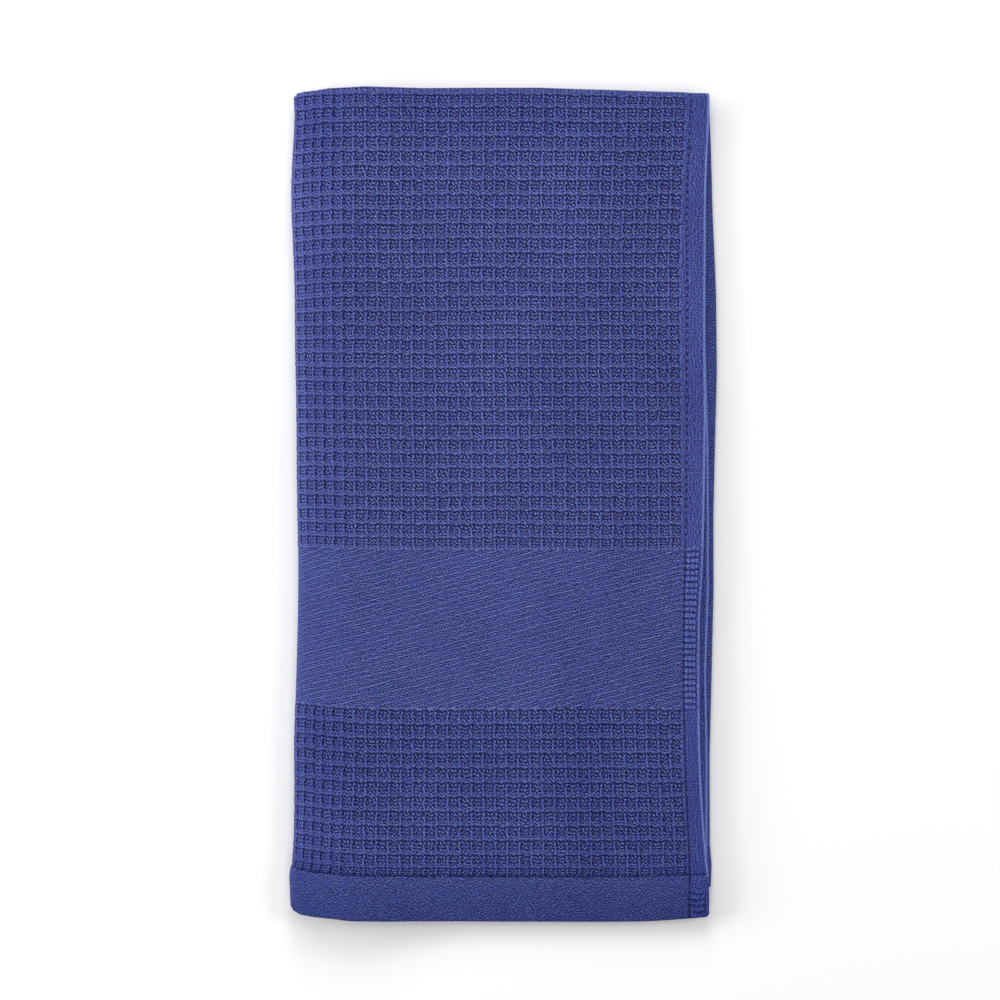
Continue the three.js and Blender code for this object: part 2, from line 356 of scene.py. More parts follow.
# %% Corners of the sheet
def rounded_corners(column, row):
    """Pulls the free corners of the sheet in, so that each follows a quarter of a circle.

    Near a corner a point's two distances from the edges, p and q as shares of the radius counted
    inwards out, become p times the root of 1 - q²/2, and q times the root of 1 - p²/2.
    """
    from_side = np.minimum(column - HEM_EDGE, LAST_COLUMN - column) * CELL_WIDTH
    from_end = np.minimum(row + HEM_ROWS, LAST_ROW - row) * CELL_HEIGHT
    p = np.clip(1 - from_side / CORNER_ROUND, 0, 1)
    q = np.clip(1 - from_end / CORNER_ROUND, 0, 1)
    inwards = CORNER_ROUND * p * (1 - np.sqrt(1 - q * q / 2)) / CELL_WIDTH
    upwards = CORNER_ROUND * q * (1 - np.sqrt(1 - p * p / 2)) / CELL_HEIGHT
    column = column + inwards * np.where(column < NOSE_COLUMN, 1, -1)
    row = row + upwards * np.where(row < FOLD_ROW, 1, -1)
    return column, row


# %% Place of any point of the cloth
def column_across(column, down, back):
    """How far across the bundle a column on the upper layers runs, before the fold begins.

    Between the free edge, the hem's seam, the ridge beside it and the far column's ridge, the
    columns are spread evenly. The back leaf's lines keep their distances from its own edge.
    """
    edges = read_table(LONG_EDGES, "down", down)
    lines = read_table(COLUMN_PLACES, "down", down)
    shift = (edges["second"] - edges["first"]) * back
    edge = edges["first"] + shift - EDGE_ROUND
    seam, ridge = lines["seam"] + shift, lines["ridge"] + shift
    hem = mix(edge, seam, (column - HEM_EDGE) / (SEAM_COLUMN - HEM_EDGE))
    border = mix(seam, ridge, (column - SEAM_COLUMN) / (0 - SEAM_COLUMN))
    cells = mix(ridge, lines["far"], column / FAR_COLUMN)
    return np.select([column < SEAM_COLUMN, column < 0], [hem, border], cells)


def section(column, down, turn, on_front):
    """Where a point is in the cut across the bundle: its place, the way its right side looks, and
    how far in from the nose it is. The heights grow from the lowest layer up."""
    read = read_table(LONG_EDGES, "down", down)
    swell = TOP_BULGE * (1 - ease(0, TOP_BULGE_LENGTH, down))
    spacing = LAYER / 2 + PLY_GAP / 2 + swell
    sink = FRONT_SINK * ease(BACK_END, SINK_END, down) * on_front
    lower = LAYER / 2 + spacing
    upper = lower + 2 * spacing + LAYER + read["gap"] - sink
    nose = read["fold"] + LAYER / 2 + spacing
    back = turn / np.pi

    inset = column_across(np.minimum(column, FAR_COLUMN), down, back) - nose
    on_slope = np.interp(-inset, -slope_insets, fold_places[: len(slope_insets)])
    start = np.interp(on_slope, fold_places, fold_lengths)
    round_fold = np.interp(column, FOLD_SHARES["column"], FOLD_SHARES["share"])
    place = np.interp(mix(start, fold_lengths[-1], round_fold), fold_lengths, fold_places)
    point, way = fold_curve(place, upper, lower)

    flat = (inset > FLAT_INSET) & (column < FAR_COLUMN)
    point = np.where(flat, inset + 1j * upper, point)
    way = np.where(flat, -1, way)
    under = np.clip((column - NOSE_COLUMN) / LOWER_COLUMNS, 0, 1)
    edge = mix(read["fourth"], read["third"], back) - EDGE_ROUND - nose
    point = np.where(column > NOSE_COLUMN, mix(NOSE_RADIUS, edge, under) + 1j * lower, point)
    way = np.where(column > NOSE_COLUMN, 1, way)

    look = -1j * way
    middle = point + nose + look * spacing * np.cos(turn)
    return middle, look, point.real


def cloth_point(column, row, out=0.0):
    """Where the point of the cloth at a column and a row ends up, out millimetres above its middle.

    The row gives a place down the front leaf, an angle round the end-to-end fold or a share of the
    back leaf. Near its two ends a leaf gives way to its crooked edge, which depends on how far in
    from the nose the point is, so the formula runs twice: the first run finds that distance.
    """
    turn = np.pi * np.clip((row - FOLD_ROW) / FOLD_ROWS, 0, 1)
    on_back = row > BACK_ROW
    column, row = rounded_corners(column, row)
    top_down = ROW_PLACES["down"][-1]
    share = np.clip((row - BACK_ROW) / BACK_ROWS, 0, 1)
    middle_down = np.interp(row, ROW_PLACES["row"], ROW_PLACES["down"])
    middle_down = np.where(on_back, mix(top_down, BUNDLE_LENGTH, share), middle_down)
    by_fold = np.where(on_back, 1 - share, ease(FOLD_ROW - FOLD_GIVES, FOLD_ROW, row))
    by_hem = np.where(on_back, share, ease(HEM_GIVES - HEM_ROWS, -HEM_ROWS, row))
    inset = np.full_like(middle_down, CROWN_INSET)
    upper = column < NOSE_COLUMN
    for _ in range(2):
        read = read_table(SHORT_EDGES, "inset", inset)
        leaf_top = np.where(upper, read["upper_fold"], read["lower_fold"]) + LAYER / 2 + BULGE
        front_hem = np.where(upper, read["front_hem"], read["hidden_hem"])
        hem = np.where(on_back, read["back_hem"], front_hem) - EDGE_ROUND
        down = middle_down + (leaf_top - top_down) * by_fold + (hem - BUNDLE_LENGTH) * by_hem
        lift = row_lift(inset, down) * (turn == 0) * upper * (1 - by_hem) * (1 - by_fold)
        down = down - lift - BULGE * np.sin(turn)
        middle, look, inset = section(column, down, turn, turn == 0)
    sideways = np.cos(turn)
    place = np.stack([middle.real, BUNDLE_LENGTH / 2 - down, middle.imag], axis=-1)
    normal = np.stack([look.real * sideways, np.sin(turn), look.imag * sideways], axis=-1)
    return place + normal * np.asarray(out)[..., None], normal


# %% [markdown]
# ## The relief of the weave
#
# In a waffle weave the yarns float over each other in steps, so each cell is a hollow between four
# ridges. The ridges that run across are crisp, and drop into a dark groove on their lower side. The
# ones that run along lean and bow a little in every cell, with a hole on both sides. Real cloth is
# never exact, so every cell gets its own small error from a seeded random table.

# %% Random errors of the cells
CELLS = (48, 72)


def cell_errors(seed, spread, centre=0.0):
    """One random number for each cell, read smoothly between the cells' middles or ridges."""
    values = np.random.default_rng(seed).normal(centre, spread, CELLS)

    def read(column, row):
        """The numbers of the four nearest cells, mixed by the point's place between them."""
        i, j = np.floor(column).astype(int), np.floor(row).astype(int)
        a, b = column - i, row - j
        low = mix(values[i % CELLS[0], j % CELLS[1]], values[(i + 1) % CELLS[0], j % CELLS[1]], a)
        high = mix(
            values[i % CELLS[0], (j + 1) % CELLS[1]], values[(i + 1) % CELLS[0], (j + 1) % CELLS[1]], a
        )
        return mix(low, high, b)

    return read


lean_of = cell_errors(1, 0.07, 0.06)
bow_of = cell_errors(2, 0.05, 0.07)
hook_of = cell_errors(7, 0.05, 0.10)
sag_of = cell_errors(3, 0.04, 0.06)
tilt_of = cell_errors(8, 0.06, 0.06)
drift_across = cell_errors(4, 0.03)
drift_along = cell_errors(5, 0.03)
height_of = cell_errors(6, 0.05)


# %% Strays of the yarns
# The height that counts as no bow, where in a cell the hook begins and ends, how near to its ends a
# lengthwise ridge is held still, and how many cells a drift takes.
BOW_LEVEL = 0.6
HOOK_PLACES = (0.5, 0.84)
RIDGE_ENDS = (0.1, 0.06)
DRIFT_COLUMNS = 5
DRIFT_ROWS_ACROSS, DRIFT_ROWS_ALONG = 4, 6


def in_waffle(column, row):
    """True on the waffle weave and the whole back leaf, not on the band or hems that show."""
    front = ((row > 0) & (row < BAND_LOW)) | (row > BAND_HIGH)
    return front & (column > 0)


def wandering(column, row):
    """How far the yarns stray from the even grid at a point, in cells across and along.

    Lengthwise ridges lean, bow and end in a hook between two crosswise ones: the shift is the lean
    times the place in the cell, the bow times a parabola, and the hook times a late s-shaped climb,
    all held still where it meets a crosswise ridge. Crosswise ridges sag between two lengthwise
    ones, by half a wave, and tilt in every cell. A slow drift over several cells is added to both.
    """
    across, along = column % 1, row % 1
    whole_column, whole_row = np.floor(column), np.floor(row)
    shift_across = lean_of(column, whole_row) * (along - 0.5)
    shift_across = shift_across + bow_of(column, whole_row) * (4 * along * (1 - along) - BOW_LEVEL)
    shift_across = shift_across - hook_of(column, whole_row) * ease(*HOOK_PLACES, along)
    held = np.minimum(along / RIDGE_ENDS[0], (1 - along) / RIDGE_ENDS[1])
    shift_across = shift_across * np.clip(held, 0, 1)
    shift_along = tilt_of(whole_column, row) * (across - 0.5) * np.sin(np.pi * across) ** 0.5
    shift_along = shift_along - sag_of(whole_column, row) * np.sin(np.pi * across) ** 2
    shift_across = shift_across + drift_across(column / DRIFT_COLUMNS, row / DRIFT_ROWS_ACROSS)
    shift_along = shift_along + drift_along(column / DRIFT_COLUMNS, row / DRIFT_ROWS_ALONG)
    waffle = in_waffle(column, row)
    return shift_across * waffle, shift_along * waffle


# %% Relief in millimetres
WAFFLE_DEPTH = 0.8
BAND_SUNK = 0.40
HEM_RISE = 0.45
SEAM_DIP = 0.12
SEAM_GROOVE = 0.03
SEAM_GROOVE_WIDTH = 0.07
SEAM_DIP_WIDTH = 0.07
SIDE_HEM_LEVEL = -0.15
SIDE_HEM_SLOPE = 0.3
END_HEM_SLOPE = 0.16
NOSE_FADE = 3

# One cell's height from a lengthwise ridge to the next, and from a crosswise ridge to the next,
# with the share of the lengthwise ridge that is left at those places.
ACROSS_PLACES = np.array([0, 0.06, 0.17, 0.5, 0.83, 0.94, 1.0])
ACROSS_HEIGHTS = np.array([0.85, 0.6, 0.0, 0.28, 0.0, 0.6, 0.85])
ALONG_PLACES = np.array([0, 0.10, 0.3, 0.52, 0.74, 0.87, 0.94, 1.0])
ALONG_HEIGHTS = np.array([1.0, 0.5, 0.16, 0.2, 0.16, 0.06, 0.62, 1.0])
RIDGE_GATE = np.array([1.0, 0.95, 1.0, 1.0, 0.9, 0.45, 0.8, 1.0])


def waffle_height(column, row):
    """The height of the waffle relief, from 0 in the deepest hole to 1 on the ridges' crests.

    The crosswise profile and the lengthwise one are laid over each other like two transparent
    sheets: one minus the product of what is missing from each.
    """
    across, along = column % 1, row % 1
    crosswise = np.interp(along, ALONG_PLACES, ALONG_HEIGHTS)
    lengthwise = np.interp(across, ACROSS_PLACES, ACROSS_HEIGHTS)
    gate = np.interp(along, ALONG_PLACES, RIDGE_GATE)
    return 1 - (1 - crosswise) * (1 - lengthwise * gate)


def relief(column, row):
    """How far the right side of the cloth lies above or below the waffle ridges' level.

    The band lies a little lower than the ridges. The end hem stands up from a groove along its
    seam, and the side hem has a furrow along its own. Past the nose the relief fades out.
    """
    height = waffle_height(column, row) * (1 + height_of(column, row))
    waffle = -WAFFLE_DEPTH * (1 - height) * ease(NOSE_COLUMN, NOSE_COLUMN - 1, column)
    on_band = (row >= BAND_LOW) & (row < BAND_HIGH)
    rise = np.where(on_band, -BAND_SUNK, waffle)
    groove = np.exp(-(((row - SEAM_GROOVE) / SEAM_GROOVE_WIDTH) ** 2))
    rise = np.where((row >= 0) & (row < 1), mix(rise, -WAFFLE_DEPTH, groove), rise)
    side = SIDE_HEM_LEVEL * ease(0, -SIDE_HEM_SLOPE, column)
    side = side - SEAM_DIP * np.exp(-(((column - SEAM_COLUMN) / SEAM_DIP_WIDTH) ** 2))
    rise = np.where(column < 0, side, rise)
    hem = HEM_RISE * ease(0, -END_HEM_SLOPE, row) * ease(NOSE_COLUMN, NOSE_COLUMN - NOSE_FADE, column)
    hem = hem + np.where(column < 0, side, 0)
    return np.where(row < 0, hem, rise)


# %% [markdown]
# ## The mesh of the sheet
#
# The upper side that shows gets about forty faces for each waffle cell, with the grid lines placed
# on the crests, the shoulders and the feet of the ridges. The hidden layers and the wrong side keep
# one line in four or five, and the faces between the two kinds of grid simply have more corners.
# That way the whole towel stays one closed sheet of under 200,000 triangles.

# %% Grid lines
CELL_COLUMNS = ACROSS_PLACES[:-1]
CELL_ROWS = ALONG_PLACES[:-1]


def cell_lines(first, last, places):
    """Grid lines at the same places in every cell from one ridge to another."""
    cells = np.arange(first, last)
    return (cells[:, None] + places[None, :]).ravel()


side_lines = np.array([
    HEM_EDGE, -1.87, -1.8, -1.65, -1.4, -1.05, -0.74, -0.6, -0.54, SEAM_COLUMN, -0.46, -0.4, -0.26, -0.1,
])
fold_lines = cell_lines(0, 36, CELL_COLUMNS)
columns_shown = np.concatenate([side_lines, fold_lines, [36.0, 36.25, NOSE_COLUMN]])
columns_hidden = np.array([38.5, 41.5, 46.5, 51.5, 56.5, 61.5, 66, LAST_COLUMN + HEM_EDGE, LAST_COLUMN])
columns = np.concatenate([columns_shown, columns_hidden])

hem_lines = -HEM_ROWS + np.array([0, 0.05, 0.14, 0.3, 0.6, 1.0, 1.4, 1.8, 2.2, 2.55, 2.78, 2.9, 2.96])
lower_lines = cell_lines(0, 12, CELL_ROWS)
band_lines = np.linspace(BAND_LOW, BAND_HIGH, 27)[:-1]
band_lines = np.sort(np.append(band_lines, [BAND_LOW + BAND_LIP, BAND_HIGH - BAND_LIP]))
upper_lines = cell_lines(23, 55, CELL_ROWS)
turn_lines = FOLD_ROW + FOLD_ROWS * np.linspace(0, 1, 13)
rows_shown = np.concatenate([hem_lines, lower_lines, band_lines, upper_lines, turn_lines])
back_band = LAST_ROW - HEM_ROWS - np.array([BAND_HIGH, (BAND_LOW + BAND_HIGH) / 2, BAND_LOW])

# The back leaf's lines are close where it leaves the fold, and then mark its band and its hem.
back_lines = [57.1, 59.3, 64, 69.5, 75, 80]
rows_hidden = np.array([*back_lines, *back_band, 102, LAST_ROW - HEM_ROWS, 109.5, LAST_ROW])
rows = np.concatenate([rows_shown, rows_hidden])
print(len(columns), "lines along and", len(rows), "lines across")


# %% Which lines the hidden faces keep
TIGHT_COLUMN = 31


def among(lines, kept):
    """True for the lines that are in a list."""
    return np.isin(np.round(lines, 3), np.round(kept, 3))


column_phase, row_phase = np.round(columns % 1, 3), np.round(rows % 1, 3)
fine_columns, fine_rows = columns <= NOSE_COLUMN, rows <= BACK_ROW
kept_columns = (columns >= NOSE_COLUMN) | ((columns >= 0) & (column_phase == 0))
kept_columns |= (columns > FAR_COLUMN) & (column_phase == 0.5)
kept_columns |= (columns > TIGHT_COLUMN) & among(column_phase, [0.17, 0.83])
kept_columns |= among(columns, [HEM_EDGE, -1.05, SEAM_COLUMN])
kept_rows = (rows >= BACK_ROW) | ((row_phase == 0) & (rows >= 0) & fine_rows)
kept_rows |= among(rows, [-HEM_ROWS, -2.4, -1.2]) | among(rows, turn_lines[::2])
kept_rows |= among(rows, band_lines[4:-4:4])
print(kept_columns.sum(), "by", kept_rows.sum(), "lines on the hidden side")

# %% Points of both sides
column_grid, row_grid = np.meshgrid(columns, rows, indexing="ij")
stray_columns, stray_rows = wandering(column_grid, row_grid)
shown = fine_columns[:, None] & fine_rows[None, :]
rise = np.where(shown, relief(column_grid, row_grid), 0)
right_points, right_normals = cloth_point(
    column_grid + stray_columns, row_grid + stray_rows, LAYER / 2 + rise
)
wrong_points, _ = cloth_point(column_grid, row_grid, np.full_like(rise, -LAYER / 2))
print("relief from", round(rise.min(), 2), "to", round(rise.max(), 2), "mm")

# %% [markdown]
# A vertex of the right side exists where two fine lines cross, or two kept ones. A face of the
# coarse grid walks round its four sides and picks up every vertex that it meets.

# %% Faces of both sides
kept = kept_columns[:, None] & kept_rows[None, :]
right_exists = shown | kept
right_index = np.full(right_exists.shape, -1)
right_index[right_exists] = np.arange(right_exists.sum())
wrong_index = np.full(kept.shape, -1)
wrong_index[kept] = right_exists.sum() + np.arange(kept.sum())


def quads(index):
    """Faces between neighbouring lines of a full grid, looking the way of the right side."""
    corners = [index[:-1, :-1], index[:-1, 1:], index[1:, 1:], index[1:, :-1]]
    return np.stack([corner.ravel() for corner in corners], axis=1)


def walk(index, i0, i1, j0, j1):
    """The vertices round one coarse cell, in the order that looks the way of the right side."""
    path = np.concatenate([
        index[i0, j0:j1], index[i0:i1, j1], index[i1, j1:j0:-1], index[i1:i0:-1, j0],
    ])
    return path[path >= 0].tolist()


last_fine_column, last_fine_row = np.flatnonzero(fine_columns)[-1], np.flatnonzero(fine_rows)[-1]
fine_faces = quads(right_index[: last_fine_column + 1, : last_fine_row + 1])
kept_i, kept_j = np.flatnonzero(kept_columns), np.flatnonzero(kept_rows)
coarse_faces = [
    walk(right_index, i0, i1, j0, j1)
    for i0, i1 in zip(kept_i, kept_i[1:])
    for j0, j1 in zip(kept_j, kept_j[1:])
    if i0 >= last_fine_column or j0 >= last_fine_row
]
wrong_faces = quads(wrong_index[np.ix_(kept_i, kept_j)])[:, ::-1]
print(len(fine_faces), "fine,", len(coarse_faces), "coarse and", len(wrong_faces), "hidden faces")

# %% The edge all round
RIM_ANGLES = np.radians([45, 90, 135])


def round_the_sheet(shape):
    """The grid places round the sheet's edge: up the first side, along the back hem, and back."""
    last_i, last_j = shape[0] - 1, shape[1] - 1
    up, along = np.arange(last_j), np.arange(last_i)
    return np.concatenate([
        np.stack([np.zeros_like(up), up]),
        np.stack([along, np.full_like(along, last_j)]),
        np.stack([np.full_like(up, last_i), last_j - up]),
        np.stack([last_i - along, np.zeros_like(along)]),
    ], axis=1)


edge_i, edge_j = round_the_sheet(right_exists.shape)
on_edge = right_exists[edge_i, edge_j]
edge_i, edge_j = edge_i[on_edge], edge_j[on_edge]
edge_right, edge_wrong = right_points[edge_i, edge_j], wrong_points[edge_i, edge_j]
along_edge = np.roll(edge_right, -1, axis=0) - np.roll(edge_right, 1, axis=0)
outward = np.cross(along_edge, right_normals[edge_i, edge_j])
outward /= np.linalg.norm(outward, axis=1, keepdims=True)
edge_middle, edge_half = (edge_right + edge_wrong) / 2, (edge_right - edge_wrong) / 2
rim_points = [
    edge_middle + edge_half * np.cos(angle) + outward * EDGE_ROUND * np.sin(angle) for angle in RIM_ANGLES
]

first_rim = right_exists.sum() + kept.sum()
edge_count = len(edge_i)
loops = [right_index[edge_i, edge_j]]
loops += [first_rim + edge_count * k + np.arange(edge_count) for k in range(len(RIM_ANGLES))]
rim_faces = np.concatenate([
    np.stack([a, b, np.roll(b, -1), np.roll(a, -1)], axis=1) for a, b in zip(loops, loops[1:])
])
stops = np.flatnonzero(kept[edge_i, edge_j])
last_faces = []
for start, stop in zip(stops, np.append(stops[1:], stops[0] + edge_count)):
    strip = np.arange(start, stop + 1) % edge_count
    ends = [wrong_index[edge_i[k], edge_j[k]] for k in (strip[0], strip[-1])]
    last_faces.append([ends[0], ends[1], *loops[-1][strip[::-1]].tolist()])
print(edge_count, "points round the edge")

# %% [markdown]
# ## Putting the sheet together
#
# The mesh keeps the column and row of every corner as a UV map named cloth. The weave's pattern is
# drawn from that map, so it follows the folds and always lines up with the relief.

# %% The towel's mesh
points = np.concatenate([right_points[right_exists], wrong_points[kept], *rim_points])
grid_places = np.stack([column_grid, row_grid], axis=-1)
off_side = (edge_i == len(columns) - 1) * 1.0 - (edge_i == 0)
off_end = (edge_j == len(rows) - 1) * 1.0 - (edge_j == 0)
outwards = np.stack([off_side / CELL_WIDTH, off_end / CELL_HEIGHT], axis=1) * EDGE_ROUND
rim_places = [grid_places[edge_i, edge_j] + outwards * angle for angle in RIM_ANGLES]
point_places = np.concatenate([grid_places[right_exists], grid_places[kept], *rim_places])
faces = [*fine_faces.tolist(), *coarse_faces, *wrong_faces.tolist(), *rim_faces.tolist(), *last_faces]


def make_mesh(name, points, faces):
    """A smooth mesh object from points in millimetres and faces."""
    mesh = bpy.data.meshes.new(name)
    mesh.from_pydata(np.asarray(points) * MM, [], faces)
    mesh.polygons.foreach_set("use_smooth", np.ones(len(mesh.polygons), dtype=bool))
    mesh.update()
    made = bpy.data.objects.new(name, mesh)
    bpy.context.scene.collection.objects.link(made)
    return made


def corner_values(mesh, values):
    """Values of the vertices, spread to the corners of the faces."""
    vertices = np.empty(len(mesh.loops), dtype=np.int32)
    mesh.loops.foreach_get("vertex_index", vertices)
    return values[vertices]


towel = make_mesh("waffle_towel", points, faces)
cloth_map = towel.data.uv_layers.new(name="cloth")
cloth_map.data.foreach_set("uv", corner_values(towel.data, point_places).astype(np.float32).ravel())
triangles = sum(len(face) - 2 for face in faces)
print(towel.name, "has", triangles, "triangles")

# %% [markdown]
# ## Drawing with nodes
#
# A weave has many small sums in it. Nodes can do them all, but each sum is a node with two or three
# sockets to fill. The small class below lets a node's output be added and multiplied like a number,
# so a pattern reads as a formula while it builds its nodes.

# %% Helpers for materials
class Wire:
    """A node's output in one material, which can be used in sums."""

    def __init__(self, tree, socket):
        """Keeps the material's node tree and the output."""
        self.tree = tree
        self.socket = socket

    def node(self, kind, inputs, output=0, **settings):
        """Adds a node: settings are its properties, and inputs its sockets by name or number."""
        made = self.tree.nodes.new("ShaderNode" + kind)
        for name, value in settings.items():
            setattr(made, name, value)
        for name, value in inputs.items():
            if isinstance(value, Wire):
                self.tree.links.new(value.socket, made.inputs[name])
            else:
                made.inputs[name].default_value = value
        return Wire(self.tree, made.outputs[output])

    def math(self, operation, *others):
        """One of Blender's sums with this value first."""
        values = dict(enumerate([self, *others]))
        return self.node("Math", values, operation=operation)

    def __add__(self, other):
        """This plus another wire or number."""
        return self.math("ADD", other)

    def __sub__(self, other):
        """This minus another wire or number."""
        return self.math("SUBTRACT", other)

    def __mul__(self, other):
        """This times another wire or number."""
        return self.math("MULTIPLY", other)

    def between(self, first, last):
        """The first number where this is 0, the last where it is 1, and evenly between."""
        return self * (last - first) + first

    def steps(self, *pairs):
        """Reads the value off a line through pairs of a place, from 0 to 1, and a height."""
        ramp = self.tree.nodes.new("ShaderNodeFloatCurve")
        points = ramp.mapping.curves[0].points
        while len(points) < len(pairs):
            points.new(0.5, 0.5)
        for point, pair in zip(points, pairs):
            point.location = pair
            point.handle_type = "VECTOR"
        ramp.mapping.update()
        self.tree.links.new(self.socket, ramp.inputs["Value"])
        return Wire(self.tree, ramp.outputs[0])

    def fade(self, start, end):
        """0 before start, 1 past end, with a soft climb; start may be the larger one."""
        inputs = {"Value": self, "From Min": start, "From Max": end}
        return self.node("MapRange", inputs, interpolation_type="SMOOTHSTEP")

    def over(self, other):
        """Lays this height over another as transparent sheets: 1 - (1 - this) * (1 - other)."""
        return (self * -1 + 1) * (other * -1 + 1) * -1 + 1


def noise(across, along, scale, seed=0.0):
    """Soft random hills over two coordinates, scale of them to a unit: -1 to 1, mostly within 0.4."""
    place = across.node("CombineXYZ", {0: across, 1: along, 2: seed})
    hills = across.node("TexNoise", {"Vector": place, "Scale": scale, "Detail": 0.0})
    return (hills - 0.5) * 2


def knots(across, along, width, height, seed=0.0, disorder=0.7):
    """Little rounded knots of yarn, each width by height: a random number from -1 to 1 for each."""
    inputs = {0: across * (1 / width), 1: along * (1 / height), 2: seed}
    place = across.node("CombineXYZ", inputs)
    inputs = {"Vector": place, "Randomness": disorder}
    colour = across.node("TexVoronoi", inputs, 1, voronoi_dimensions="2D")
    red = across.node("SeparateColor", {0: colour})
    return red * 2 - 1


def ripples(across, along, pitch, angle=0.0, order=0.0, span=1.5):
    """Wavering ripples a pitch apart, from -1 to 1: order 0 lets them run any way, 1 all one way.

    angle is the way in which they follow each other, and span how many there are in a patch.
    """
    place = across.node("CombineXYZ", {0: across, 1: along})
    inputs = {"Vector": place, "Scale": 1 / (span * pitch), "Frequency": span}
    inputs.update({"Anisotropy": order, "Orientation": angle})
    return (across.node("TexGabor", inputs) - 0.5) * 2


def wave(place):
    """A cosine of a place counted in whole waves, from -1 to 1."""
    return (place * (2 * np.pi)).math("COSINE")


def from_screen(red, green, blue):
    """The linear colour of a tone that a screen shows with these numbers out of 255."""
    tone = np.array([red, green, blue]) / 255
    return np.where(tone <= 0.04045, tone / 12.92, ((tone + 0.055) / 1.055) ** 2.4)


# %% [markdown]
# ## The yarn
#
# All zones of the towel are woven from the same dyed cotton. What differs is how much of each yarn
# lies free in the light: the floats on the ridges are pale and a little shiny, partly with a painted
# highlight, and the gaps between the yarns are nearly navy, darkened further by painted shade. So one
# scale of tones, from the gaps to the floats, serves them all, and each weave only says which tone is
# where and how high the yarn stands.

# %% Cotton
COTTON = {"Roughness": 0.9, "Specular IOR Level": 0.2, "Sheen Weight": 0.05, "Sheen Roughness": 0.45}
LIGHT_LEVEL = 1.25
YARN_TONES = [
    (0.0, (3, 6, 55)),
    (0.25, (28, 34, 98)),
    (0.5, (57, 64, 133)),
    (0.75, (87, 97, 170)),
    (1.0, (122, 137, 205)),
]

# Painted shade: how much deeper the blue is made, from 0 to 1, at rows where the cloth slopes away.
SLOPE_SHADE_ROWS = [
    (-HEM_ROWS, 1), (-1.5, 0.75), (-0.2, 0.4), (0, 0.9), (2, 0.5), (11, 0.4), (BAND_LOW, 0),
    (50, 0), (53, 0.4), (FOLD_ROW, 0.4),
]
SLOPE_SHADE_DEPTH = 0.10
SLOPE_SHADE_TINT = (0.88, 1.0, 1.08)

# Columns over which painted shade deepens the tone beside the side hem, where the cloth sinks from
# the crown, and painted light lightens it towards the fold, which faces the light from the left.
SIDE_COLUMNS = (14, 6)
SIDE_PAINTED_SHADE = 0.03
FOLD_COLUMNS = (27, 31)
FOLD_PAINTED_LIGHT = 0.02

# Each weave shows a slightly different blue, and the fold gets a paler tint of painted light.
FOLD_PAINTED_TINT = (1.0, 1.01, 1.03)
WAFFLE_TINT = (0.99, 0.98, 0.985)
BAND_TINT = (0.99, 1.01, 1.07)
HEM_TINT = (0.96, 1.01, 1.04)

# Uneven dye: wide clouds of tone, and a fine grain of hue.
CLOUD_SCALE = 0.16
CLOUD_DEPTH = 0.05
GRAIN_SCALE = 0.9
GRAIN_SHARE = 0.34
BUMP_HEIGHT = 0.25


def set_finish(material, finish):
    """Sets sockets of a new material's shader by name, and gives the shader back."""
    material.use_nodes = True
    shader = material.node_tree.nodes["Principled BSDF"]
    for name, value in finish.items():
        shader.inputs[name].default_value = value
    return shader


def new_cloth(name):
    """A new cotton material with its cell coordinates: the material, and the column and row."""
    material = bpy.data.materials.new(name)
    set_finish(material, COTTON)
    tree = material.node_tree
    source = tree.nodes.new("ShaderNodeUVMap")
    source.uv_map = "cloth"
    parts = tree.nodes.new("ShaderNodeSeparateXYZ")
    tree.links.new(source.outputs[0], parts.inputs[0])
    return material, Wire(tree, parts.outputs[0]), Wire(tree, parts.outputs[1])


def finish_cloth(material, tone, column, row, tint):
    """Turns tones from 0 to 1 into the yarn's colours, times a tint, and into a small bump."""
    tree = material.node_tree
    shader = tree.nodes["Principled BSDF"]
    # Painted shade at the rows where the cloth slopes away from the lamps.
    place = (row + HEM_ROWS) * (1 / (FOLD_ROW + HEM_ROWS))
    pairs = [((at + HEM_ROWS) / (FOLD_ROW + HEM_ROWS), slope_shade) for at, slope_shade in SLOPE_SHADE_ROWS]
    slope_shade = place.steps(*pairs)
    # Painted light towards the fold, and painted shade beside the side hem.
    by_fold = column.fade(*FOLD_COLUMNS)
    tone = tone + noise(column, row, CLOUD_SCALE, seed=7.0) * CLOUD_DEPTH - slope_shade * SLOPE_SHADE_DEPTH
    tone = tone - column.fade(*SIDE_COLUMNS) * SIDE_PAINTED_SHADE + by_fold * FOLD_PAINTED_LIGHT
    ramp = tree.nodes.new("ShaderNodeValToRGB")
    stops = ramp.color_ramp.elements
    while len(stops) < len(YARN_TONES):
        stops.new(0.5)
    for stop, (place, screen) in zip(stops, YARN_TONES):
        stop.position = place
        stop.color = (*(from_screen(*screen) / LIGHT_LEVEL), 1)
    tree.links.new(tone.socket, ramp.inputs[0])
    place = column.node("CombineXYZ", {0: column * CELL_WIDTH, 1: row * CELL_HEIGHT})
    dye = column.node("TexNoise", {"Vector": place, "Scale": GRAIN_SCALE, "Detail": 0.0}, 1)
    inputs = {"Factor": GRAIN_SHARE, 6: Wire(tree, ramp.outputs[0]), 7: dye}
    colour = column.node("Mix", inputs, 2, data_type="RGBA", blend_type="OVERLAY")
    # The painted shade of the slopes and the painted light of the fold also tint the colour.
    for factor, tint in ((1.0, tint), (slope_shade, SLOPE_SHADE_TINT), (by_fold, FOLD_PAINTED_TINT)):
        inputs = {"Factor": factor, 6: colour, 7: (*tint, 1)}
        colour = column.node("Mix", inputs, 2, data_type="RGBA", blend_type="MULTIPLY")
    tree.links.new(colour.socket, shader.inputs["Base Color"])
    inputs = {"Strength": 1.0, "Distance": BUMP_HEIGHT * MM, "Height": tone}
    relief_normal = tone.node("Bump", inputs)
    tree.links.new(relief_normal.socket, shader.inputs["Normal"])
    return material
